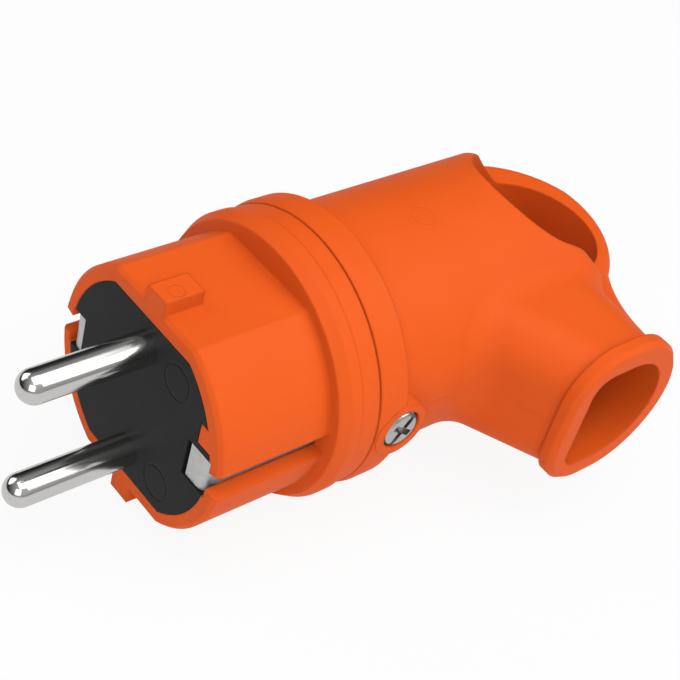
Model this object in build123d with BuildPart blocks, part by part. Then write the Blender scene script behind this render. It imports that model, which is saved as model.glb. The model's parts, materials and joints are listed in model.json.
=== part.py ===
from build123d import *
import os

# Angled round-pin plug with a finger loop. Millimetres, +Z up.
# X runs along the plug: the pins point to -X and the body lies on +X. The cable leaves towards -Y.
# The two pins stand one above the other. The origin is the middle of the pin face.

# Clearances
fit = 0.1
seat_gap = 0.05
joint_gap = 0.2

# Length of the body, from the pin face to the end of the finger loop
body_length = 86.1

# Contact pins
pin_dia = 4.8
pin_spacing = 19.0
pin_length = 19.0
pin_stem_dia = 4.2
pin_head_dia = 8.0
pin_head_length = 5.0

# Nose of the front sleeve: a round section with two flats
nose_r = 18.5
nose_across_flats = 32.6
nose_length = 18.2
nose_wall = 2.2
nose_flat_wall = 2.4
nose_edge = 0.6
tab_width = 4.0
tab_length = 6.0
tab_height = 2.3

# Flange ring behind the nose, and the spigot that enters the hood
flange_length = 6.7
flange_r = 20.95
flange_lip = 0.9
flange_shoulder = 1.7
flange_bead = 3.4
flange_step = 0.3
spigot_length = 1.6
spigot_wall = 1.5

# Earth contacts on the two sides of the nose
strap_width = 6.0
strap_thickness = 1.2
strap_reach = 16.3
strap_hook = 4.3
strap_hook_back = 2.8
hook_gap = 0.6
strap_inset = 0.2
strap_bend_r = 2.0
channel_throat = 3.0
channel_mouth = 4.2

# Contact carrier
carrier_flange_length = 3.0
carrier_flange_step = 1.4
cup_length = 10.0
cup_wall = 1.6
key_width = 3.2
key_height = 3.2
key_offset = 5.8

# Hood: ring, round body and hollow
ring_length = 5.1
ring_step = 0.15
ring_slope = 1.5
ring_lip = 0.35
ring_edge = 0.6
ring_root = 1.0
hood_r = 18.7
hood_wall = 2.7

# Finger loop across the back of the hood
loop_trim = 1.2
loop_turn_y = 2.0
loop_turn_step = 0.2
loop_height = 15.2
loop_edge_r = 2.5
loop_foot = 11.8
loop_web_r = 24.0
loop_web_drop = 0.3
loop_web_edge_r = 3.5
loop_slope = 9.9
finger_band = 4.2
finger_length = 22.4
finger_width = 23.6
finger_side = 1.0
finger_wall = 2.8

# Neck and collar for the cable
collar_y = -32.6
collar_length = 2.4
collar_bead = 1.4
collar_edge = 0.8
neck_back = 24.1
neck_root_y = -9.0
neck_root_reach = 20.2
neck_flare = 1.3
neck_end_reach = 9.9
neck_end_height = 22.2
neck_corner_r = 7.0
neck_blend_r = 6.0
neck_wall = 2.2
mouth_corner_r = 3.2

# Hood screws, their pads and nuts
screw_back = 4.7
screw_dia = 3.0
screw_head_dia = 6.0
screw_head_height = 2.0
screw_seat = 2.0
pad_r = 4.5
pad_rim = 0.2
head_room = 0.2
nut_width = 5.5
nut_thickness = 1.8
nut_wall = 1.0

# Terminal screws and their clamp plates
terminal_dia = 3.9
terminal_head_dia = 7.0
terminal_head_height = 2.6
terminal_grip = 4.0
plate_width = 7.4
plate_thickness = 1.2

# Cable clamp
cord_dia = 8.0
clamp_back = 4.2
clamp_width = 5.0
clamp_thickness = 4.2
clamp_bite = 1.0
clamp_inset = 3.5
clamp_screw_dia = 3.4
clamp_screw_edge = 3.5
clamp_head_dia = 6.2
clamp_head_height = 2.2
tongue_thickness = 3.2

# Places that follow from the sizes
flange_x = nose_length + flange_length
hood_x = flange_x + joint_gap
pin_z = pin_spacing / 2
pin_tip_x = pin_dia / 2 - pin_length
nose_flat = nose_across_flats / 2
bore_r = nose_r - nose_wall
bore_flat = nose_flat - nose_flat_wall
carrier_r = bore_r - fit / 2
carrier_flat = bore_flat - fit / 2
carrier_flange_r = carrier_r + carrier_flange_step
floor_x = flange_x - fit
carrier_flange_x = floor_x - carrier_flange_length
spigot_bore_r = carrier_flange_r + fit
spigot_r = spigot_bore_r + spigot_wall
hollow_r = hood_r - hood_wall
clamp_span = 2 * (hollow_r - clamp_inset)
clamp_screw_spacing = clamp_span - 2 * clamp_screw_edge
ring_r = flange_r + ring_step
cup_r = hollow_r - fit
cup_x = floor_x + cup_length
strap_inner = strap_reach - strap_thickness
strap_back = floor_x + strap_thickness
loop_half = loop_height / 2
loop_dome = hood_r - loop_trim
loop_turn_r = hood_r + loop_turn_step
loop_x = body_length - loop_dome
loop_turn_x = body_length - loop_turn_r
hood_end = loop_x + hood_r
foot_x = body_length - loop_foot
shoulder_x = foot_x - loop_slope
finger_x = body_length - finger_band - finger_length / 2
neck_x = body_length - neck_back
neck_root_height = neck_end_height + 2 * neck_flare
neck_blend = min(neck_blend_r, hood_r - neck_root_height / 2)
neck_end_y = collar_y + collar_length / 2
screw_x = hood_x + screw_back
screw_seat_y = ring_r - screw_seat
nut_y = cup_r - nut_wall - nut_thickness / 2
head_top_y = screw_seat_y + screw_head_height
web_x = neck_x + neck_end_height / 2 + loop_web_r
web_reach = loop_turn_r + loop_web_r
web_y = loop_turn_y - (web_reach**2 - (web_x - loop_turn_x) ** 2) ** 0.5
seat_y = cord_dia / 2
clamp_x = cup_x + clamp_back

os.makedirs("parts", exist_ok=True)


def neck_form(root_y, root_reach, root_half, end_y, end_reach, end_half, corner):
    """A tapered D-shaped body along -Y: flat front with rounded corners, half-round back."""
    with BuildPart() as form:
        with BuildSketch(Plane.XY):
            with BuildLine():
                Polyline(
                    (neck_x, root_y),
                    (neck_x - root_reach, root_y),
                    (neck_x - end_reach, end_y),
                    (neck_x, end_y),
                    close=True,
                )
            make_face()
        extrude(amount=root_half, both=True)
        with BuildSketch(Plane.YZ):
            with BuildLine():
                Polyline(
                    (root_y, root_half),
                    (end_y, end_half),
                    (end_y, -end_half),
                    (root_y, -root_half),
                    close=True,
                )
            make_face()
        extrude(amount=neck_x, mode=Mode.INTERSECT)
        front = form.faces().sort_by(Axis.X)[0]
        fillet(front.edges().filter_by(lambda edge: abs(edge.center().Z) > fit), corner)
        with BuildSketch(Plane.YZ.offset(neck_x)):
            with BuildLine():
                Polyline((root_y, 0), (root_y, root_half), (end_y, end_half), (end_y, 0), close=True)
            make_face()
        revolve(axis=Axis((neck_x, 0, 0), (0, 1, 0)), revolution_arc=180)
    return form.part


def finger_outline(wall):
    """The oval finger hole seen from above, larger all round by a wall."""
    with BuildSketch(Plane.XY) as outline:
        with Locations((finger_x, -finger_side)):
            Ellipse(finger_length / 2 + wall, finger_width / 2 + wall)
    return outline.sketch


# Front sleeve: nose, guide tabs, flange ring and spigot
with BuildPart() as front_sleeve:
    with BuildSketch(Plane.YZ):
        Circle(nose_r)
        Rectangle(2 * nose_r, nose_across_flats, mode=Mode.INTERSECT)
    extrude(amount=flange_x)
    chamfer(front_sleeve.edges().group_by(Axis.X)[0], nose_edge)
    with BuildSketch(Plane.XY):
        with BuildLine():
            Polyline(
                (nose_length, bore_flat),
                (nose_length, flange_r - flange_lip),
                (nose_length + flange_shoulder, flange_r),
                (nose_length + flange_bead, flange_r),
                (nose_length + flange_bead + flange_step, flange_r - flange_step),
                (flange_x, flange_r - flange_step),
                (flange_x, spigot_r),
                (flange_x + spigot_length, spigot_r),
                (flange_x + spigot_length, bore_flat),
                close=True,
            )
        make_face()
    revolve(axis=Axis.X)
    with BuildSketch(Plane.YZ):
        Rectangle(tab_width, 2 * (nose_flat + tab_height))
        Rectangle(tab_width, nose_across_flats - tab_height, mode=Mode.SUBTRACT)
    extrude(amount=tab_length)
    # Bore for the carrier, with a key left standing on the cable side
    with BuildSketch(Plane.YZ):
        Circle(bore_r)
        Rectangle(2 * bore_r, 2 * bore_flat, mode=Mode.INTERSECT)
        with Locations((-bore_r, key_offset)):
            Rectangle(2 * key_width, key_height, mode=Mode.SUBTRACT)
    extrude(amount=flange_x + spigot_length, mode=Mode.SUBTRACT)
    with BuildSketch(Plane.YZ.offset(carrier_flange_x - fit)):
        Circle(spigot_bore_r)
    extrude(amount=flange_x + spigot_length, mode=Mode.SUBTRACT)
    # Undercut side channels: the lips hold the edges of the earth strap
    with BuildSketch(Plane.YZ):
        with BuildLine():
            Polyline(
                (strap_inner, strap_width / 2 + fit),
                (strap_reach + seat_gap, strap_width / 2 + fit),
                (strap_reach + seat_gap, channel_throat / 2),
                (nose_r + fit, channel_mouth / 2),
                (nose_r + fit, -channel_mouth / 2),
                (strap_reach + seat_gap, -channel_throat / 2),
                (strap_reach + seat_gap, -strap_width / 2 - fit),
                (strap_inner, -strap_width / 2 - fit),
                close=True,
            )
        make_face()
        mirror(about=Plane.YZ)
    extrude(amount=nose_length, mode=Mode.SUBTRACT)
    with BuildSketch(Plane.YZ):
        Rectangle(2 * (strap_reach + seat_gap), strap_width + 2 * fit)
    extrude(amount=flange_x + spigot_length, mode=Mode.SUBTRACT)
front_sleeve.part.label = "front_sleeve"
export_step(front_sleeve.part, "parts/front_sleeve.step")

# Contact carrier: the insulating block, its flange and the terminal cup behind it
with BuildPart() as contact_carrier:
    with BuildSketch(Plane.YZ):
        Circle(carrier_r)
        Rectangle(2 * carrier_r, 2 * carrier_flat, mode=Mode.INTERSECT)
        with Locations((-carrier_r, key_offset)):
            Rectangle(2 * (key_width + fit), key_height + 2 * fit, mode=Mode.SUBTRACT)
    extrude(amount=carrier_flange_x)
    with BuildSketch(Plane.YZ.offset(carrier_flange_x)):
        Circle(carrier_flange_r)
    extrude(amount=carrier_flange_length)
    with BuildSketch(Plane.YZ.offset(floor_x)):
        Circle(cup_r)
        Circle(cup_r - cup_wall, mode=Mode.SUBTRACT)
    extrude(amount=cup_length)
    # Pads in the cup for the two nuts
    with BuildSketch(Plane.YZ.offset(floor_x)):
        Circle(cup_r)
        Rectangle(2 * cup_r, nut_width + 2 * cup_wall, mode=Mode.INTERSECT)
        Rectangle(2 * (nut_y - nut_thickness / 2 - cup_wall), 2 * cup_r, mode=Mode.SUBTRACT)
    extrude(amount=cup_length)
    # Seat for the cable: a tongue across the back of the cup
    with BuildSketch(Plane.YZ.offset(cup_x - cup_wall)):
        Circle(cup_r)
        with Locations((seat_y + tongue_thickness / 2, 0)):
            Rectangle(tongue_thickness, 2 * cup_r, mode=Mode.INTERSECT)
    extrude(amount=clamp_x + clamp_width / 2 - cup_x + cup_wall)
    # Room in the cup for the pin heads and their clamp plates
    with BuildSketch(Plane.YZ.offset(floor_x)):
        with Locations((0, pin_z), (0, -pin_z)):
            Circle(pin_head_dia / 2 + fit)
            Rectangle(plate_width + 2 * fit, plate_width + 2 * fit)
    extrude(amount=cup_length, mode=Mode.SUBTRACT)
    # Pin holes
    with BuildSketch(Plane.YZ):
        with Locations((0, pin_z), (0, -pin_z)):
            Circle(pin_stem_dia / 2 + seat_gap)
    extrude(amount=floor_x, mode=Mode.SUBTRACT)
    # Way of the earth strap: two side slots, open hooks at the face and the crossing on the floor
    with BuildSketch(Plane.YZ):
        Rectangle(2 * carrier_flange_r, strap_width + 2 * fit)
        Rectangle(2 * (strap_inner - seat_gap), strap_width + 2 * fit, mode=Mode.SUBTRACT)
    extrude(amount=strap_back + fit, mode=Mode.SUBTRACT)
    with BuildSketch(Plane.YZ):
        Rectangle(2 * carrier_r, strap_width + 2 * fit)
        with Locations(((strap_hook - strap_hook_back + hook_gap - fit) / 2, 0)):
            face_width = 2 * strap_reach - strap_hook - strap_hook_back - hook_gap - fit
            Rectangle(face_width, strap_width + 2 * fit, mode=Mode.SUBTRACT)
    extrude(amount=strap_inset + strap_thickness + strap_bend_r, mode=Mode.SUBTRACT)
    with BuildSketch(Plane.YZ.offset(floor_x)):
        Rectangle(2 * carrier_flange_r, strap_width + 2 * fit)
    extrude(amount=strap_thickness + fit, mode=Mode.SUBTRACT)
    # Relief for the inside of the strap's rear bends
    bend_relief = strap_bend_r - strap_thickness + fit
    with BuildSketch(Plane.YZ.offset(floor_x - bend_relief)):
        Rectangle(2 * strap_inner, strap_width + 2 * fit)
        Rectangle(2 * (strap_inner - bend_relief), strap_width + 2 * fit, mode=Mode.SUBTRACT)
    extrude(amount=bend_relief, mode=Mode.SUBTRACT)
    # Room under the earth terminal for the end of its screw
    with BuildSketch(Plane.YZ.offset(floor_x - terminal_grip)):
        Circle(terminal_dia / 2 + fit)
    extrude(amount=terminal_grip, mode=Mode.SUBTRACT)
    # Nut slots, open to the back, with the screw holes from outside
    with BuildSketch(Plane.YZ.offset(screw_x - nut_width / 2 - fit)):
        with Locations((nut_y, 0), (-nut_y, 0)):
            Rectangle(nut_thickness + 2 * seat_gap, nut_width + 2 * seat_gap)
    extrude(amount=cup_length, mode=Mode.SUBTRACT)
    for side in (1, -1):
        with BuildSketch(Plane.XZ.offset(side * nut_y)):
            with Locations((screw_x, 0)):
                Circle(screw_dia / 2 + fit)
        extrude(amount=side * cup_r, mode=Mode.SUBTRACT)
    # Holes for the clamp screws
    with BuildSketch(Plane.XZ.offset(-seat_y - tongue_thickness)):
        with Locations((clamp_x, clamp_screw_spacing / 2), (clamp_x, -clamp_screw_spacing / 2)):
            Circle(clamp_screw_dia / 2 + seat_gap)
    extrude(amount=tongue_thickness, mode=Mode.SUBTRACT)
contact_carrier.part.label = "contact_carrier"
export_step(contact_carrier.part, "parts/contact_carrier.step")

# Contact pins: a round-ended pin with a shoulder on the face, and a stem to its terminal head
for pin_name, z in (("line", pin_z), ("neutral", -pin_z)):
    with BuildPart() as pin:
        with BuildSketch(Plane.XZ):
            with BuildLine():
                Polyline((pin_tip_x, z + pin_dia / 2), (0, z + pin_dia / 2), (0, z), (-pin_length, z))
                RadiusArc((-pin_length, z), (pin_tip_x, z + pin_dia / 2), pin_dia / 2)
            make_face()
        revolve(axis=Axis((0, 0, z), (1, 0, 0)))
        with BuildSketch(Plane.YZ):
            with Locations((0, z)):
                Circle(pin_stem_dia / 2)
        extrude(amount=floor_x)
        with BuildSketch(Plane.YZ.offset(floor_x)):
            with Locations((0, z)):
                Circle(pin_head_dia / 2)
        extrude(amount=pin_head_length)
        with BuildSketch(Plane.YZ.offset(floor_x + pin_head_length - terminal_grip)):
            with Locations((0, z)):
                Circle(terminal_dia / 2 + seat_gap)
        extrude(amount=terminal_grip, mode=Mode.SUBTRACT)
    pin.part.label = pin_name + "_pin"
    export_step(pin.part, "parts/" + pin_name + "_pin.step")

# Earth strap: one bent strip, hooked over the front at both sides
with BuildPart() as earth_strap:
    with BuildSketch(Plane.XY):
        with Locations(((strap_inset + strap_back) / 2, 0)):
            RectangleRounded(strap_back - strap_inset, 2 * strap_reach, strap_bend_r)
            RectangleRounded(
                strap_back - strap_inset - 2 * strap_thickness,
                2 * strap_inner,
                strap_bend_r - strap_thickness,
                mode=Mode.SUBTRACT,
            )
        with Locations((0, (strap_hook - strap_hook_back) / 2)):
            hook_span = 2 * strap_reach - strap_hook - strap_hook_back
            Rectangle(2 * (strap_inset + strap_thickness), hook_span, mode=Mode.SUBTRACT)
    extrude(amount=strap_width / 2, both=True)
    with BuildSketch(Plane.YZ.offset(floor_x)):
        Circle(terminal_dia / 2 + seat_gap)
    extrude(amount=strap_thickness, mode=Mode.SUBTRACT)
earth_strap.part.label = "earth_strap"
export_step(earth_strap.part, "parts/earth_strap.step")

# Terminal screws with captive square plates, one on each pin head and one on the strap
terminals = (
    ("line", pin_z, floor_x + pin_head_length),
    ("neutral", -pin_z, floor_x + pin_head_length),
    ("earth", 0.0, strap_back),
)
for terminal_name, z, seat_x in terminals:
    with BuildPart() as terminal_screw:
        with BuildSketch(Plane.YZ.offset(seat_x)):
            with Locations((0, z)):
                Rectangle(plate_width, plate_width)
        extrude(amount=plate_thickness)
        with BuildSketch(Plane.YZ.offset(seat_x + plate_thickness)):
            with Locations((0, z)):
                Circle(terminal_head_dia / 2)
        extrude(amount=terminal_head_height)
        with BuildSketch(Plane.YZ.offset(seat_x)):
            with Locations((0, z)):
                Circle(terminal_dia / 2)
        extrude(amount=fit - terminal_grip)
    terminal_screw.part.label = terminal_name + "_terminal_screw"
    export_step(terminal_screw.part, "parts/" + terminal_name + "_terminal_screw.step")

# Hollow of the hood: round behind the carrier, D-shaped through the neck, stopped by the finger hole
with BuildPart() as hood_hollow:
    with BuildSketch(Plane.YZ.offset(hood_x)):
        Circle(hollow_r)
    extrude(amount=neck_x - hood_x)
    inner_neck = neck_form(
        neck_root_y,
        neck_root_reach - neck_wall,
        neck_root_height / 2 - neck_wall,
        collar_y,
        neck_end_reach - neck_wall,
        neck_end_height / 2 - neck_wall,
        mouth_corner_r,
    )
    add(inner_neck)
    with BuildSketch(Plane.XY):
        add(finger_outline(finger_wall))
    extrude(amount=hood_r, both=True, mode=Mode.SUBTRACT)
    # Seat of the sleeve's spigot
    with BuildSketch(Plane.YZ.offset(hood_x)):
        Circle(spigot_r + fit)
    extrude(amount=spigot_length - joint_gap + fit)

# Web from the loop to the neck: seen from above, an arc that touches both
with BuildPart() as loop_web:
    touch_share = loop_turn_r / web_reach
    touch_x = loop_turn_x + (web_x - loop_turn_x) * touch_share
    touch_y = loop_turn_y + (web_y - loop_turn_y) * touch_share
    with BuildSketch(Plane.XY):
        with BuildLine():
            Polyline(
                (web_x - loop_web_r, web_y), (neck_x, web_y), (neck_x, loop_turn_y), (touch_x, touch_y)
            )
            TangentArc(
                (touch_x, touch_y),
                (web_x - loop_web_r, web_y),
                tangent=(web_y - loop_turn_y, loop_turn_x - web_x),
            )
        make_face()
    extrude(amount=loop_half - loop_web_drop, both=True)
    web_rims = loop_web.edges().filter_by(GeomType.CIRCLE)
    fillet(web_rims, loop_web_edge_r)

# Rear hood: ring, round body, finger loop, neck and collar in one moulding
with BuildPart() as rear_hood:
    with BuildSketch(Plane.XY):
        with BuildLine():
            Polyline((loop_x, hood_r), (hood_x, hood_r), (hood_x, 0), (hood_end, 0))
            RadiusArc((loop_x, hood_r), (hood_end, 0), hood_r)
        make_face()
    revolve(axis=Axis.X)
    # Seen from above, the back turns in towards the neck
    with BuildSketch(Plane.XY):
        with Locations((loop_turn_x, loop_turn_y)):
            Circle(loop_turn_r)
        with Locations((loop_turn_x - hood_end / 2, 0)):
            Rectangle(hood_end, 4 * hood_r)
    extrude(amount=hood_r, both=True, mode=Mode.INTERSECT)
    # Above and below, the back slopes down to the band of the loop
    with BuildSketch(Plane.XZ):
        with BuildLine():
            Polyline(
                (shoulder_x, hood_r),
                (foot_x, loop_half),
                (hood_end, loop_half),
                (hood_end, hood_r),
                close=True,
            )
        make_face()
        mirror(about=Plane.XZ)
    extrude(amount=hood_r, both=True, mode=Mode.SUBTRACT)
    band_edges = rear_hood.edges().filter_by(lambda edge: edge.center().X > shoulder_x)
    fillet(band_edges.filter_by(lambda edge: abs(edge.center().Z) >= loop_half - fit), loop_edge_r)
    # Neck, tapered towards the collar and blended into the body
    outer_neck = neck_form(
        neck_root_y,
        neck_root_reach,
        neck_root_height / 2,
        neck_end_y,
        neck_end_reach,
        neck_end_height / 2,
        neck_corner_r,
    )
    add(outer_neck)
    neck_seam = rear_hood.edges(Select.NEW)
    fillet(neck_seam.filter_by(lambda edge: edge.center().Y > neck_end_y + fit), neck_blend)
    add(loop_web.part)
    # Bead round the mouth
    bead_reach = neck_end_reach + collar_bead
    bead_half = neck_end_height / 2 + collar_bead
    bead_root_y = collar_y + collar_length
    bead = neck_form(
        bead_root_y, bead_reach, bead_half, collar_y, bead_reach, bead_half, neck_corner_r + collar_bead
    )
    add(bead)
    rims = rear_hood.edges().filter_by(lambda edge: edge.center().Y < collar_y + collar_length + fit)
    chamfer(rims.group_by(Axis.Y)[0], collar_edge)
    # Ring at the joint, and the two screw pads on it
    with BuildSketch(Plane.XY):
        with BuildLine():
            Polyline(
                (hood_x, 0),
                (hood_x, ring_r - ring_lip),
                (hood_x + ring_slope, ring_r),
                (hood_x + ring_length - ring_edge, ring_r),
                (hood_x + ring_length, ring_r - ring_edge),
                (hood_x + ring_length, hood_r + ring_root),
                (hood_x + ring_length + ring_root, hood_r),
                (hood_x + ring_length + ring_root, 0),
                close=True,
            )
        make_face()
    revolve(axis=Axis.X)
    with BuildSketch(Plane.XZ):
        with Locations((screw_x, 0)):
            Circle(pad_r)
        with Locations((hood_x + 2 * pad_r, 0)):
            Rectangle(4 * pad_r, 2 * pad_r, mode=Mode.INTERSECT)
    extrude(amount=head_top_y - pad_rim, both=True)
    # Finger hole
    with BuildSketch(Plane.XY):
        add(finger_outline(0))
    extrude(amount=hood_r, both=True, mode=Mode.SUBTRACT)
    add(hood_hollow.part, mode=Mode.SUBTRACT)
    # Counterbored screw holes
    with BuildSketch(Plane.XZ):
        with Locations((screw_x, 0)):
            Circle(screw_dia / 2 + fit)
    extrude(amount=ring_r, both=True, mode=Mode.SUBTRACT)
    for side in (1, -1):
        with BuildSketch(Plane.XZ.offset(side * screw_seat_y)):
            with Locations((screw_x, 0)):
                Circle(screw_head_dia / 2 + head_room)
        extrude(amount=side * ring_r, mode=Mode.SUBTRACT)
rear_hood.part.label = "rear_hood"
export_step(rear_hood.part, "parts/rear_hood.step")

# Hood screws and the square nuts in the carrier
for place, side in (("front", 1), ("back", -1)):
    with BuildPart() as hood_nut:
        with BuildSketch(Plane.XZ.offset(side * (nut_y - nut_thickness / 2))):
            with Locations((screw_x, 0)):
                Rectangle(nut_width, nut_width)
                Circle(screw_dia / 2 + seat_gap, mode=Mode.SUBTRACT)
        extrude(amount=side * nut_thickness)
    hood_nut.part.label = "hood_nut_" + place
    export_step(hood_nut.part, "parts/hood_nut_" + place + ".step")
    with BuildPart() as hood_screw:
        with BuildSketch(Plane.XZ.offset(side * screw_seat_y)):
            with Locations((screw_x, 0)):
                Circle(screw_head_dia / 2)
        extrude(amount=side * screw_head_height)
        tail_y = nut_y - nut_thickness / 2
        with BuildSketch(Plane.XZ.offset(side * tail_y)):
            with Locations((screw_x, 0)):
                Circle(screw_dia / 2)
        extrude(amount=side * (screw_seat_y - tail_y))
    hood_screw.part.label = "hood_screw_" + place
    export_step(hood_screw.part, "parts/hood_screw_" + place + ".step")

# Cable clamp: a saddle bar and two screws into the carrier's tongue
bar_inner_y = cord_dia / 2 - clamp_bite
bar_outer_y = bar_inner_y + clamp_thickness
with BuildPart() as cord_clamp_bar:
    with BuildSketch(Plane.YZ.offset(clamp_x - clamp_width / 2)):
        with Locations((-(bar_inner_y + bar_outer_y) / 2, 0)):
            Rectangle(clamp_thickness, clamp_span)
        Circle(cord_dia / 2, mode=Mode.SUBTRACT)
    extrude(amount=clamp_width)
    with BuildSketch(Plane.XZ):
        with Locations((clamp_x, clamp_screw_spacing / 2), (clamp_x, -clamp_screw_spacing / 2)):
            Circle(clamp_screw_dia / 2 + seat_gap)
    extrude(amount=bar_outer_y, mode=Mode.SUBTRACT)
cord_clamp_bar.part.label = "cord_clamp_bar"
export_step(cord_clamp_bar.part, "parts/cord_clamp_bar.step")
for place, z in (("upper", clamp_screw_spacing / 2), ("lower", -clamp_screw_spacing / 2)):
    with BuildPart() as clamp_screw:
        with BuildSketch(Plane.XZ.offset(bar_outer_y)):
            with Locations((clamp_x, z)):
                Circle(clamp_head_dia / 2)
        extrude(amount=clamp_head_height)
        with BuildSketch(Plane.XZ.offset(bar_outer_y)):
            with Locations((clamp_x, z)):
                Circle(clamp_screw_dia / 2)
        extrude(amount=-bar_outer_y - seat_y - tongue_thickness)
    clamp_screw.part.label = "cord_clamp_screw_" + place
    export_step(clamp_screw.part, "parts/cord_clamp_screw_" + place + ".step")
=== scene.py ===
# %% [markdown]
# # An angled mains plug with a finger loop
# The solids of this plug come from a CAD model, so every shape here already has its real size.
# Blender adds what a CAD solid can't show: the grain of moulded plastic, bright plating, the
# driver recess in a screw head, and the light and the camera of a product photograph.

# %% Load the solids
import json
import math

import bmesh
import bpy
from mathutils import Matrix, Vector


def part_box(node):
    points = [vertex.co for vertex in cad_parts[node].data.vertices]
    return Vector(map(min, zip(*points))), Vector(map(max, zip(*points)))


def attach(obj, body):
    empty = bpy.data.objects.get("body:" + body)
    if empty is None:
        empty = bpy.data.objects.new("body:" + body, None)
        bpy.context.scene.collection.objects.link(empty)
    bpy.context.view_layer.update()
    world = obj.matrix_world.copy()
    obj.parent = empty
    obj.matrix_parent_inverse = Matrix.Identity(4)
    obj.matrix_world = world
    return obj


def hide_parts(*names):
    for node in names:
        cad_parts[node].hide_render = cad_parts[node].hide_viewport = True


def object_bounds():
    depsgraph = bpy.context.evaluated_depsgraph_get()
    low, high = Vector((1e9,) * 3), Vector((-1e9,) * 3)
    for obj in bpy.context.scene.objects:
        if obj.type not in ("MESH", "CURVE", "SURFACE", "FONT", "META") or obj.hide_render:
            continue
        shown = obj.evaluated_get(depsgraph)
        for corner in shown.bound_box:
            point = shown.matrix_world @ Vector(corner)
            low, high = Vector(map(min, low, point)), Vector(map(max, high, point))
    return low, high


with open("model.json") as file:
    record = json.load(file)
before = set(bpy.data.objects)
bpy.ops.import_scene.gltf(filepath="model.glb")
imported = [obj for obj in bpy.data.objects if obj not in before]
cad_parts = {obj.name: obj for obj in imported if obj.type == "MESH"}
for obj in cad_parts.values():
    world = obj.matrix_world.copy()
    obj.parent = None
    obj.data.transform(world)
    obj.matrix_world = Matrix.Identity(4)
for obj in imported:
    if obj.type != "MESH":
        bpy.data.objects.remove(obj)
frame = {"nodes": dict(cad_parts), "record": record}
nodes = frame["nodes"]
cad_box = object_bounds()
scene = bpy.context.scene
MM = 0.001
print("solids:", ", ".join(sorted(nodes)))

# %% [markdown]
# ## Camera
# The photograph looks down on the pin face from the cable's side, and the picture is turned a
# little. Azimuth, elevation and roll give the direction. The lens is long, so the plug shows
# little perspective. The origin of the plug, the middle of its pin face, is then placed on its
# own pixel of the square picture.

# %% Camera
PICTURE = 680
FOCAL_PIXELS = 1569.27
AZIMUTH, ELEVATION, ROLL = (math.radians(a) for a in (-49.961, 40.153, 16.943))
ORIGIN_PIXEL = (136.572, 399.249)
DISTANCE = 208.261 * MM
SENSOR_WIDTH = 36
CLIP_START = 10 * MM

level_reach = math.cos(ELEVATION)
back = Vector((math.sin(AZIMUTH) * level_reach, -math.cos(AZIMUTH) * level_reach, math.sin(ELEVATION)))
level_right = Vector((0, 0, 1)).cross(back).normalized()
level_up = back.cross(level_right)
right = level_right * math.cos(ROLL) + level_up * math.sin(ROLL)
up = level_up * math.cos(ROLL) - level_right * math.sin(ROLL)
across = (ORIGIN_PIXEL[0] - PICTURE / 2) / FOCAL_PIXELS
down = (ORIGIN_PIXEL[1] - PICTURE / 2) / FOCAL_PIXELS
place = (back - right * across + up * down) * DISTANCE

lens = bpy.data.cameras.new("photo_camera")
lens.sensor_width = SENSOR_WIDTH
lens.lens = FOCAL_PIXELS / PICTURE * SENSOR_WIDTH
lens.clip_start = CLIP_START
camera = bpy.data.objects.new("photo_camera", lens)
turn = Matrix((right, up, back)).transposed().to_4x4()
camera.matrix_world = Matrix.Translation(place) @ turn
scene.collection.objects.link(camera)
scene.camera = camera
print("camera at", [round(c, 4) for c in place], "lens", round(lens.lens, 2), "mm")

# %% [markdown]
# ## Floor and light
# A product photograph of this kind is lit by large soft boxes, so shadows are weak and the colour
# shows almost as it is. A big soft lamp hangs overhead, a key lamp stands on the pin side, one by
# the neck and one on the far side. The floor mixes plain white light into what the camera sees.
# It stays white that way, and it still takes the shadow of the plug. Mirrored in the pins it is a
# light grey, so that the lower edge of each pin stands out from the floor behind it.

# %% Floor
FLOOR_GAP = 0.05 * MM
FLOOR_HALF = 0.6
MIDDLE = (0.03, 0, 0)

floor_z = cad_box[0][2] - FLOOR_GAP
bm = bmesh.new()
bmesh.ops.create_grid(bm, x_segments=2, y_segments=2, size=FLOOR_HALF)
bmesh.ops.translate(bm, verts=bm.verts, vec=(MIDDLE[0], MIDDLE[1], floor_z))
floor_mesh = bpy.data.meshes.new("floor")
bm.to_mesh(floor_mesh)
bm.free()
floor = bpy.data.objects.new("floor", floor_mesh)
scene.collection.objects.link(floor)
print("floor at", round(floor_z, 5), "m")


# %% Floor material
def new_node(tree, kind, x, y, **values):
    """Adds a shader node at a place on the sheet and sets its own values."""
    made = tree.nodes.new(kind)
    made.location = (x, y)
    for name, value in values.items():
        setattr(made, name, value)
    return made


def new_material(name):
    """A material with an empty sheet, its output and its Principled shader."""
    material = bpy.data.materials.new(name)
    material.use_nodes = True
    tree = material.node_tree
    tree.nodes.clear()
    output = new_node(tree, "ShaderNodeOutputMaterial", 400, 0)
    shader = new_node(tree, "ShaderNodeBsdfPrincipled", 100, 0)
    tree.links.new(shader.outputs["BSDF"], output.inputs["Surface"])
    return material, tree, shader


WHITE_SHARE = 0.91
DIMMED_IN_MIRRORS = 0.34

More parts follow.
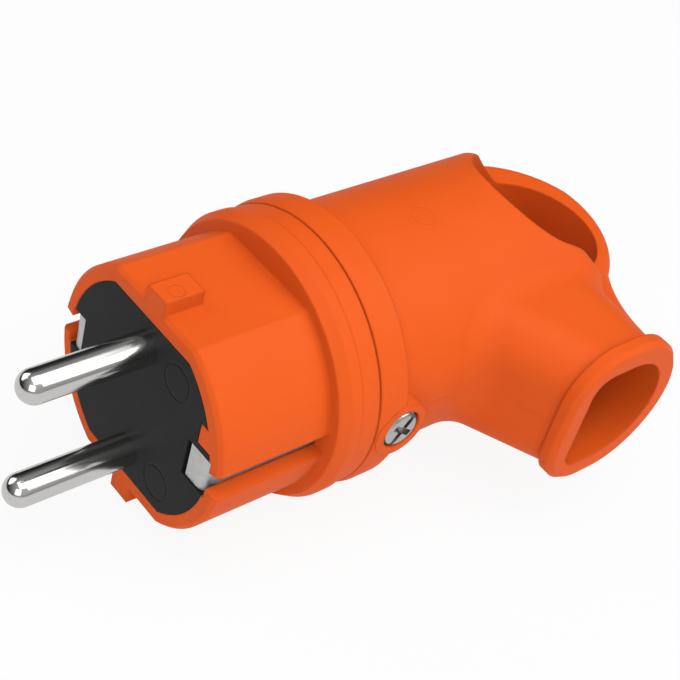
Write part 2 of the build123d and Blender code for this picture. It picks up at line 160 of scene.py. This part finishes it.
floor_white, tree, shader = new_material("floor_white")
shader.inputs["Base Color"].default_value = (0.9, 0.9, 0.9, 1)
shader.inputs["Roughness"].default_value = 0.8
ray = new_node(tree, "ShaderNodeLightPath", -500, 300)
seen = new_node(tree, "ShaderNodeMath", -300, 300, operation="MAXIMUM")
tree.links.new(ray.outputs["Is Camera Ray"], seen.inputs[0])
tree.links.new(ray.outputs["Is Glossy Ray"], seen.inputs[1])
seen_too = new_node(tree, "ShaderNodeMath", -150, 300, operation="MAXIMUM")
tree.links.new(seen.outputs[0], seen_too.inputs[0])
tree.links.new(ray.outputs["Is Transmission Ray"], seen_too.inputs[1])
share = new_node(tree, "ShaderNodeMath", 0, 300, operation="MULTIPLY")
share.inputs[1].default_value = WHITE_SHARE
tree.links.new(seen_too.outputs[0], share.inputs[0])
white = new_node(tree, "ShaderNodeEmission", 100, 180)
dimmed = new_node(tree, "ShaderNodeMath", -150, 80, operation="MULTIPLY_ADD")
dimmed.inputs[1].default_value = -DIMMED_IN_MIRRORS
dimmed.inputs[2].default_value = 1.0
tree.links.new(ray.outputs["Is Glossy Ray"], dimmed.inputs[0])
tree.links.new(dimmed.outputs[0], white.inputs["Strength"])
blend = new_node(tree, "ShaderNodeMixShader", 280, 200)
tree.links.new(share.outputs[0], blend.inputs["Fac"])
tree.links.new(shader.outputs["BSDF"], blend.inputs[1])
tree.links.new(white.outputs["Emission"], blend.inputs[2])
tree.links.new(blend.outputs[0], tree.nodes["Material Output"].inputs["Surface"])
floor.data.materials.append(floor_white)
print("floor material:", floor_white.name)

# %% [markdown]
# The world is bright above the camera's side and dark behind the plug. Diffuse plastic hardly
# shows the difference, but a bright pin is a mirror: it needs something dark to look at, or it
# turns plain white. Past the edge of the floor the camera sees the floor's own white.

# %% World
BRIGHT_SIDE = (0.0, -0.6, 0.8)
FACING_LOW, FACING_HIGH = -0.1, 0.9
DARKEST, BRIGHTEST = 0.02, 0.42
WHITE_LIKE_FLOOR = 0.955

scene.view_settings.view_transform = "Standard"
world = bpy.data.worlds.new("studio")
scene.world = world
world.use_nodes = True
tree = world.node_tree
sky = tree.nodes["Background"]
towards = new_node(tree, "ShaderNodeTexCoord", -800, 0)
facing = new_node(tree, "ShaderNodeVectorMath", -600, 0, operation="DOT_PRODUCT")
facing.inputs[1].default_value = BRIGHT_SIDE
level = new_node(tree, "ShaderNodeMapRange", -400, 0)
level.inputs["From Min"].default_value = FACING_LOW
level.inputs["From Max"].default_value = FACING_HIGH
level.inputs["To Min"].default_value = DARKEST
level.inputs["To Max"].default_value = BRIGHTEST
tree.links.new(towards.outputs["Generated"], facing.inputs[0])
tree.links.new(facing.outputs["Value"], level.inputs["Value"])
ray = new_node(tree, "ShaderNodeLightPath", -600, 300)
like_floor = new_node(tree, "ShaderNodeMath", -400, 300, operation="MULTIPLY")
like_floor.inputs[1].default_value = WHITE_LIKE_FLOOR
shown = new_node(tree, "ShaderNodeMath", -200, 0, operation="MAXIMUM")
tree.links.new(ray.outputs["Is Camera Ray"], like_floor.inputs[0])
tree.links.new(like_floor.outputs[0], shown.inputs[0])
tree.links.new(level.outputs["Result"], shown.inputs[1])
tree.links.new(shown.outputs[0], sky.inputs["Strength"])
sky.inputs["Color"].default_value = (1, 1, 1, 1)
print("world:", world.name)


# %% Lamps
def soft_box(name, place, width, height, watts):
    """A rectangular soft lamp at a place, turned to face the middle of the plug."""
    lamp = bpy.data.lights.new(name, "AREA")
    lamp.shape = "RECTANGLE"
    lamp.size = width
    lamp.size_y = height
    lamp.energy = watts
    holder = bpy.data.objects.new(name, lamp)
    towards = Vector(MIDDLE) - Vector(place)
    turned = towards.to_track_quat("-Z", "Y").to_matrix().to_4x4()
    holder.matrix_world = Matrix.Translation(place) @ turned
    scene.collection.objects.link(holder)
    return holder


# Name, place in metres, width, height, watts.
LAMPS = (
    ("overhead_box", (0.02, -0.12, 0.55), 0.5, 0.5, 1.7),
    ("key_box", (-0.42, -0.38, 0.3), 0.4, 0.4, 0.85),
    ("neck_box", (0.36, -0.32, 0.4), 0.42, 0.36, 0.85),
    ("far_box", (-0.25, 0.5, 0.35), 0.4, 0.4, 0.9),
)
for lamp in LAMPS:
    print("lamp:", soft_box(*lamp).name)

# %% [markdown]
# ## Shared effects
# Some effects come back in more than one finish, so each is a node group with its own inputs.
# Moulded plastic has a fine grain from the tool's spark-eroded wall, and slow changes in tone
# where the melt flowed. Round marks of ejector pins and gates show as thin rings. Where the two
# halves of the mould meet, a faint seam runs round the hood, broken where it was trimmed well.
# All patterns read Object coordinates in metres, so they keep their real size.


# %% Grain group
def new_group(name, inputs, outputs):
    """A shader node group with named sockets. Returns the group and its two end nodes."""
    group = bpy.data.node_groups.new(name, "ShaderNodeTree")
    for socket, kind, value in inputs:
        made = group.interface.new_socket(name=socket, in_out="INPUT", socket_type=kind)
        made.default_value = value
    for socket, kind in outputs:
        group.interface.new_socket(name=socket, in_out="OUTPUT", socket_type=kind)
    start = new_node(group, "NodeGroupInput", -900, 0)
    end = new_node(group, "NodeGroupOutput", 600, 0)
    return group, start, end


grain, start, end = new_group(
    "moulded_grain",
    [("Grain Scale", "NodeSocketFloat", 2200.0), ("Flow Scale", "NodeSocketFloat", 60.0)],
    [("Grain", "NodeSocketFloat"), ("Flow", "NodeSocketFloat")],
)
where = new_node(grain, "ShaderNodeTexCoord", -900, -200)
fine = new_node(grain, "ShaderNodeTexNoise", -500, 150)
fine.inputs["Detail"].default_value = 3
fine.inputs["Roughness"].default_value = 0.6
slow = new_node(grain, "ShaderNodeTexNoise", -500, -150)
slow.inputs["Detail"].default_value = 2
grain.links.new(where.outputs["Object"], fine.inputs["Vector"])
grain.links.new(where.outputs["Object"], slow.inputs["Vector"])
grain.links.new(start.outputs["Grain Scale"], fine.inputs["Scale"])
grain.links.new(start.outputs["Flow Scale"], slow.inputs["Scale"])
grain.links.new(fine.outputs["Fac"], end.inputs["Grain"])
grain.links.new(slow.outputs["Fac"], end.inputs["Flow"])
print("group:", grain.name)

# %% Ring mark group
ring, start, end = new_group(
    "ring_mark",
    [
        ("Centre", "NodeSocketVector", (0, 0, 0)),
        ("Plane", "NodeSocketVector", (1, 1, 0)),
        ("Radius", "NodeSocketFloat", 0.002),
        ("Line", "NodeSocketFloat", 0.0003),
    ],
    [("Mask", "NodeSocketFloat")],
)
where = new_node(ring, "ShaderNodeTexCoord", -900, -200)
offset = new_node(ring, "ShaderNodeVectorMath", -700, 0, operation="SUBTRACT")
flat = new_node(ring, "ShaderNodeVectorMath", -550, 0, operation="MULTIPLY")
reach = new_node(ring, "ShaderNodeVectorMath", -400, 0, operation="LENGTH")
gap = new_node(ring, "ShaderNodeMath", -250, 0, operation="SUBTRACT")
size = new_node(ring, "ShaderNodeMath", -100, 0, operation="ABSOLUTE")
steps = new_node(ring, "ShaderNodeMath", 50, 0, operation="DIVIDE")
mask = new_node(ring, "ShaderNodeMath", 200, 0, operation="SUBTRACT", use_clamp=True)
mask.inputs[0].default_value = 1.0
ring.links.new(where.outputs["Object"], offset.inputs[0])
ring.links.new(start.outputs["Centre"], offset.inputs[1])
ring.links.new(offset.outputs["Vector"], flat.inputs[0])
ring.links.new(start.outputs["Plane"], flat.inputs[1])
ring.links.new(flat.outputs["Vector"], reach.inputs[0])
ring.links.new(reach.outputs["Value"], gap.inputs[0])
ring.links.new(start.outputs["Radius"], gap.inputs[1])
ring.links.new(gap.outputs[0], size.inputs[0])
ring.links.new(size.outputs[0], steps.inputs[0])
ring.links.new(start.outputs["Line"], steps.inputs[1])
ring.links.new(steps.outputs[0], mask.inputs[1])
ring.links.new(mask.outputs[0], end.inputs["Mask"])
print("group:", ring.name)

# %% Seam group
seam, start, end = new_group(
    "parting_seam",
    [("Line", "NodeSocketFloat", 0.0001), ("From X", "NodeSocketFloat", 0.031)],
    [("Mask", "NodeSocketFloat")],
)
where = new_node(seam, "ShaderNodeTexCoord", -900, -200)
axes = new_node(seam, "ShaderNodeSeparateXYZ", -700, 0)
above = new_node(seam, "ShaderNodeMath", -500, 100, operation="ABSOLUTE")
steps = new_node(seam, "ShaderNodeMath", -350, 100, operation="DIVIDE")
thin = new_node(seam, "ShaderNodeMath", -200, 100, operation="SUBTRACT", use_clamp=True)
thin.inputs[0].default_value = 1.0
behind = new_node(seam, "ShaderNodeMath", -350, -100, operation="GREATER_THAN")
trimmed = new_node(seam, "ShaderNodeTexNoise", -500, -300)
trimmed.inputs["Scale"].default_value = 140.0
left = new_node(seam, "ShaderNodeMapRange", -300, -300)
left.inputs["From Min"].default_value = 0.45
left.inputs["From Max"].default_value = 0.6
left.inputs["To Min"].default_value = 0.1
there = new_node(seam, "ShaderNodeMath", 0, 0, operation="MULTIPLY")
partly = new_node(seam, "ShaderNodeMath", 200, 0, operation="MULTIPLY")
seam.links.new(where.outputs["Object"], axes.inputs["Vector"])
seam.links.new(where.outputs["Object"], trimmed.inputs["Vector"])
seam.links.new(axes.outputs["Z"], above.inputs[0])
seam.links.new(above.outputs[0], steps.inputs[0])
seam.links.new(start.outputs["Line"], steps.inputs[1])
seam.links.new(steps.outputs[0], thin.inputs[1])
seam.links.new(axes.outputs["X"], behind.inputs[0])
seam.links.new(start.outputs["From X"], behind.inputs[1])
seam.links.new(trimmed.outputs["Fac"], left.inputs["Value"])
seam.links.new(thin.outputs[0], there.inputs[0])
seam.links.new(behind.outputs[0], there.inputs[1])
seam.links.new(there.outputs[0], partly.inputs[0])
seam.links.new(left.outputs["Result"], partly.inputs[1])
seam.links.new(partly.outputs[0], end.inputs["Mask"])
print("group:", seam.name)

# %% [markdown]
# ## Orange shell
# The sleeve and the hood are one plastic, thick-walled and satin. Its grain is too fine to see
# one by one and only breaks up the shine. Sharp edges of a moulding are never quite sharp, so a
# Bevel node rounds the normal over about half a millimetre. The metal in the photograph is pure
# grey, with nothing orange mirrored in it, so the shell shows a plain grey to mirror rays. In the
# mouth and the finger hole its light bounces from wall to wall. A duller tone for those rays keeps
# the hollows brown, as they are in the photograph, where plain orange would turn them red.

# %% Plastic
PLASTIC_SPECULAR = 0.12
SHINE_SPREAD = 0.08


def place_group(tree, group, x, y, **values):
    """Puts a group on a material's sheet with its own values."""
    made = new_node(tree, "ShaderNodeGroup", x, y, node_tree=group)
    for name, value in values.items():
        made.inputs[name.replace("_", " ")].default_value = value
    return made


def plastic(name, light, dark, mirrored, bounced, roughness, edge, grain_scale, depth, marks, seam_height):
    """A moulded plastic: two tones by the flow of the melt, fine grain, soft edges, ring marks, seam."""
    material, tree, shader = new_material(name)
    shader.inputs["Specular IOR Level"].default_value = PLASTIC_SPECULAR
    surface = place_group(tree, grain, -900, 0, Grain_Scale=grain_scale)
    tone = new_node(tree, "ShaderNodeMix", -400, 200, data_type="RGBA")
    tone.inputs["A"].default_value = (*dark, 1)
    tone.inputs["B"].default_value = (*light, 1)
    tree.links.new(surface.outputs["Flow"], tone.inputs["Factor"])
    ray = new_node(tree, "ShaderNodeLightPath", -700, 500)
    colour = tone.outputs["Result"]
    # The mirrored colour is a painted reflection: what the plastic shows to mirror rays. The bounced
    # colour is painted shade: a duller tone for light bounced between walls, which darkens the hollows.
    for step, (kind, indirect) in enumerate((("Is Glossy Ray", mirrored), ("Is Diffuse Ray", bounced))):
        seen = new_node(tree, "ShaderNodeMix", -250 + 150 * step, 400, data_type="RGBA")
        seen.inputs["B"].default_value = (*indirect, 1)
        tree.links.new(ray.outputs[kind], seen.inputs["Factor"])
        tree.links.new(colour, seen.inputs["A"])
        colour = seen.outputs["Result"]
    tree.links.new(colour, shader.inputs["Base Color"])
    shine = new_node(tree, "ShaderNodeMapRange", -400, -50)
    shine.inputs["To Min"].default_value = roughness - SHINE_SPREAD
    shine.inputs["To Max"].default_value = roughness + SHINE_SPREAD
    tree.links.new(surface.outputs["Grain"], shine.inputs["Value"])
    tree.links.new(shine.outputs["Result"], shader.inputs["Roughness"])
    height = surface.outputs["Grain"]
    for place_no, (centre, plane, radius, line, weight) in enumerate(marks):
        y = -300 - 220 * place_no
        mark = place_group(tree, ring, -900, y, Centre=centre, Plane=plane, Radius=radius, Line=line)
        cut = new_node(tree, "ShaderNodeMath", -600, y, operation="MULTIPLY_ADD")
        cut.inputs[1].default_value = -weight
        tree.links.new(mark.outputs["Mask"], cut.inputs[0])
        tree.links.new(height, cut.inputs[2])
        height = cut.outputs[0]
    line = place_group(tree, seam, -900, -1000)
    raised = new_node(tree, "ShaderNodeMath", -600, -1000, operation="MULTIPLY_ADD")
    raised.inputs[1].default_value = seam_height
    tree.links.new(line.outputs["Mask"], raised.inputs[0])
    tree.links.new(height, raised.inputs[2])
    height = raised.outputs[0]
    soft = new_node(tree, "ShaderNodeBevel", -400, -500, samples=6)
    soft.inputs["Radius"].default_value = edge
    bump = new_node(tree, "ShaderNodeBump", -150, -300)
    bump.inputs["Strength"].default_value = 1.0
    bump.inputs["Distance"].default_value = depth
    tree.links.new(height, bump.inputs["Height"])
    tree.links.new(soft.outputs["Normal"], bump.inputs["Normal"])
    tree.links.new(bump.outputs["Normal"], shader.inputs["Normal"])
    return material


# %% [markdown]
# A ring mark is given by its centre, the plane it lies in, its radius, the width of its line and
# its depth. The gates show on the tab and on the hood, the ejectors on the pin face. The insert
# is a nearly black plastic, with finer grain and sharper edges than the shell.

# %% Shell and insert
GATE_ON_TAB = ((2.7 * MM, -0.4 * MM, 0), (1, 1, 0), 1.15 * MM, 0.18 * MM, 6.0)
GATE_ON_HOOD = ((44.6 * MM, -1.3 * MM, 0), (1, 1, 0), 1.9 * MM, 0.2 * MM, 4.0)
EJECTOR_UP = ((0, -7.05 * MM, 9.4 * MM), (0, 1, 1), 2.6 * MM, 0.3 * MM, 15.0)
EJECTOR_DOWN = ((0, -7.05 * MM, -9.4 * MM), (0, 1, 1), 2.6 * MM, 0.3 * MM, 15.0)

orange_shell = plastic(
    "orange_shell",
    light=(0.9, 0.125, 0.0145),
    dark=(0.85, 0.106, 0.011),
    mirrored=(0.12, 0.12, 0.12),
    bounced=(0.58, 0.185, 0.06),
    roughness=0.52,
    edge=0.5 * MM,
    grain_scale=2200,
    depth=0.014 * MM,
    marks=[GATE_ON_TAB, GATE_ON_HOOD],
    seam_height=8.0,
)
dark_insulator = plastic(
    "dark_insulator",
    light=(0.022, 0.022, 0.023),
    dark=(0.015, 0.015, 0.016),
    mirrored=(0.008, 0.008, 0.008),
    bounced=(0.015, 0.015, 0.016),
    roughness=0.5,
    edge=0.25 * MM,
    grain_scale=2600,
    depth=0.014 * MM,
    marks=[EJECTOR_UP, EJECTOR_DOWN],
    seam_height=0.0,
)
print("plastics:", orange_shell.name, dark_insulator.name)

# %% [markdown]
# ## Metals
# The pins are plated with nickel and polished along their length, so their noise is stretched
# along X. The earth strip is dull tin with cloudy patches, and the screws are plated with zinc.
# Each metal has a light and a dark tone.


# %% Metals
def metal(name, light, dark, roughness, spread, stretch, depth):
    """A plated metal: faint lines or patches, which also vary the tone and the shine."""
    material, tree, shader = new_material(name)
    shader.inputs["Metallic"].default_value = 1.0
    where = new_node(tree, "ShaderNodeTexCoord", -1100, 0)
    along = new_node(tree, "ShaderNodeMapping", -900, 0)
    along.inputs["Scale"].default_value = stretch
    lines = new_node(tree, "ShaderNodeTexNoise", -700, 0)
    lines.inputs["Scale"].default_value = 1.0
    lines.inputs["Detail"].default_value = 4
    tree.links.new(where.outputs["Object"], along.inputs["Vector"])
    tree.links.new(along.outputs["Vector"], lines.inputs["Vector"])
    tone = new_node(tree, "ShaderNodeMix", -400, 300, data_type="RGBA")
    tone.inputs["A"].default_value = (*dark, 1)
    tone.inputs["B"].default_value = (*light, 1)
    tree.links.new(lines.outputs["Fac"], tone.inputs["Factor"])
    tree.links.new(tone.outputs["Result"], shader.inputs["Base Color"])
    shine = new_node(tree, "ShaderNodeMapRange", -400, 0)
    shine.inputs["To Min"].default_value = roughness
    shine.inputs["To Max"].default_value = roughness + spread
    tree.links.new(lines.outputs["Fac"], shine.inputs["Value"])
    tree.links.new(shine.outputs["Result"], shader.inputs["Roughness"])
    bump = new_node(tree, "ShaderNodeBump", -150, -300)
    bump.inputs["Distance"].default_value = depth
    tree.links.new(lines.outputs["Fac"], bump.inputs["Height"])
    tree.links.new(bump.outputs["Normal"], shader.inputs["Normal"])
    return material


NICKEL = ((0.86, 0.85, 0.83), (0.74, 0.73, 0.71))
TIN = ((0.86, 0.86, 0.85), (0.58, 0.58, 0.57))
ZINC = ((0.72, 0.71, 0.69), (0.58, 0.57, 0.55))

bright_pin = metal(
    "bright_pin",
    *NICKEL,
    roughness=0.1,
    spread=0.1,
    stretch=(120, 1500, 1500),
    depth=0.001 * MM,
)
dull_strip = metal(
    "dull_strip",
    *TIN,
    roughness=0.38,
    spread=0.2,
    stretch=(1100, 1100, 1100),
    depth=0.03 * MM,
)
zinc_screw = metal(
    "zinc_screw",
    *ZINC,
    roughness=0.22,
    spread=0.15,
    stretch=(900, 900, 900),
    depth=0.006 * MM,
)
print("metals:", bright_pin.name, dull_strip.name, zinc_screw.name)

# %% [markdown]
# ## Dressing
# Every solid has a material slot in its record. The finish of that slot goes onto the solid.

# %% Dress the solids
finish_of_slot = {
    "shell": orange_shell,
    "insulator": dark_insulator,
    "pin_plating": bright_pin,
    "tinned_strip": dull_strip,
    "screw_steel": zinc_screw,
}
for piece in frame["record"]["subparts"]:
    slots = nodes[piece["node"]].material_slots
    for slot in slots:
        slot.material = finish_of_slot[piece["material_slot"]]

# %% [markdown]
# ## Hood screws
# Two machine screws hold the hood, one on each side of its ring. Their heads are low and domed,
# and take either a cross driver or a blade: a cross recess with a slot right across it. The head
# and the shank are cylinders. A bevel rounds the head's rim. The recess is cut last by a Boolean,
# because its walls have to stay sharp.


# %% Tools for pieces
def finished_piece(name, mesh, body, material):
    """Puts a mesh into the scene as a piece that rides on a body and takes a slot's finish."""
    mesh.materials.clear()
    mesh.materials.append(material)
    piece = bpy.data.objects.new(name, mesh)
    scene.collection.objects.link(piece)
    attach(piece, body)
    return piece


def scratch_object(name, bm):
    """Turns a bmesh into an object that only serves a Boolean."""
    mesh = bpy.data.meshes.new(name)
    bm.to_mesh(mesh)
    bm.free()
    made = bpy.data.objects.new(name, mesh)
    scene.collection.objects.link(made)
    return made


def round_bar(bm, radius, low, high, segments):
    """A cylinder between two heights, made as a cone with equal ends."""
    middle_up = Matrix.Translation((0, 0, (low + high) / 2))
    bmesh.ops.create_cone(
        bm,
        cap_ends=True,
        segments=segments,
        radius1=radius,
        radius2=radius,
        depth=high - low,
        matrix=middle_up,
    )


def square_bar(bm, length, width, low, high, turn):
    """A box along a direction, between two heights: one arm of a recess."""
    shape = Matrix.Translation((0, 0, (low + high) / 2)) @ Matrix.Rotation(turn, 4, "Z")
    shape = shape @ Matrix.Diagonal((length, width, high - low, 1))
    bmesh.ops.create_cube(bm, size=1, matrix=shape)


# %% Hood screws
HEAD_HEIGHT, HEAD_ROUND, SHANK_R = 2.0 * MM, 0.9 * MM, 1.5 * MM
SLOT_LENGTH, SLOT_WIDTH, SLOT_FLOOR = 7.0 * MM, 0.8 * MM, 1.25 * MM
CROSS_LENGTH, CROSS_WIDTH, CROSS_FLOOR = 3.9 * MM, 0.95 * MM, 0.5 * MM
RECESS_TURN = math.radians(56)
SHARP_ANGLE = math.radians(35)
HEAD_SEGMENTS, SHANK_SEGMENTS, ROUND_STEPS = 64, 32, 6


def hood_screw(node, outwards):
    """A domed screw in the place of its CAD solid. outwards is +1 or -1 along Y."""
    low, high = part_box(node)
    head_r = (high.x - low.x) / 2
    tail, top = sorted((abs(low.y), abs(high.y)))
    seat = top - HEAD_HEIGHT
    bm = bmesh.new()
    round_bar(bm, head_r, 0, HEAD_HEIGHT, HEAD_SEGMENTS)
    rim = [edge for edge in bm.edges if all(vert.co.z > HEAD_HEIGHT * 0.9 for vert in edge.verts)]
    bmesh.ops.bevel(
        bm,
        geom=rim,
        offset=HEAD_ROUND,
        segments=ROUND_STEPS,
        profile=0.5,
        affect="EDGES",
        material=-1,
    )
    round_bar(bm, SHANK_R, tail - seat, 0, SHANK_SEGMENTS)
    blank = scratch_object(node + "_blank", bm)
    bm = bmesh.new()
    # The arms end at different heights above the head, so no two of their tops share a plane.
    above = HEAD_HEIGHT * 1.3
    square_bar(bm, SLOT_LENGTH, SLOT_WIDTH, SLOT_FLOOR, above, RECESS_TURN)
    square_bar(bm, CROSS_LENGTH, CROSS_WIDTH, CROSS_FLOOR, above * 1.1, RECESS_TURN)
    square_bar(bm, CROSS_LENGTH, CROSS_WIDTH, CROSS_FLOOR, above * 1.2, RECESS_TURN + math.pi / 2)
    cutter = scratch_object(node + "_cutter", bm)
    cut = blank.modifiers.new("recess", "BOOLEAN")
    cut.operation = "DIFFERENCE"
    cut.solver = "EXACT"
    cut.use_self = True
    cut.object = cutter
    bpy.context.view_layer.update()
    cut_blank = blank.evaluated_get(bpy.context.evaluated_depsgraph_get())
    shaped = bpy.data.meshes.new_from_object(cut_blank)
    for used in (blank, cutter):
        bpy.data.objects.remove(used)
    stand = Matrix.Rotation(math.radians(-90 * outwards), 4, "X")
    seat_place = ((low.x + high.x) / 2, outwards * seat, (low.z + high.z) / 2)
    shaped.transform(Matrix.Translation(seat_place) @ stand)
    for polygon in shaped.polygons:
        polygon.use_smooth = True
    shaped.set_sharp_from_angle(angle=SHARP_ANGLE)
    piece = finished_piece(node + "_domed", shaped, "root", zinc_screw)
    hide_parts(node)
    return piece


for node, outwards in (("hood_screw_front", -1), ("hood_screw_back", 1)):
    piece = hood_screw(node, outwards)
    print(piece.name, len(piece.data.polygons), "faces")
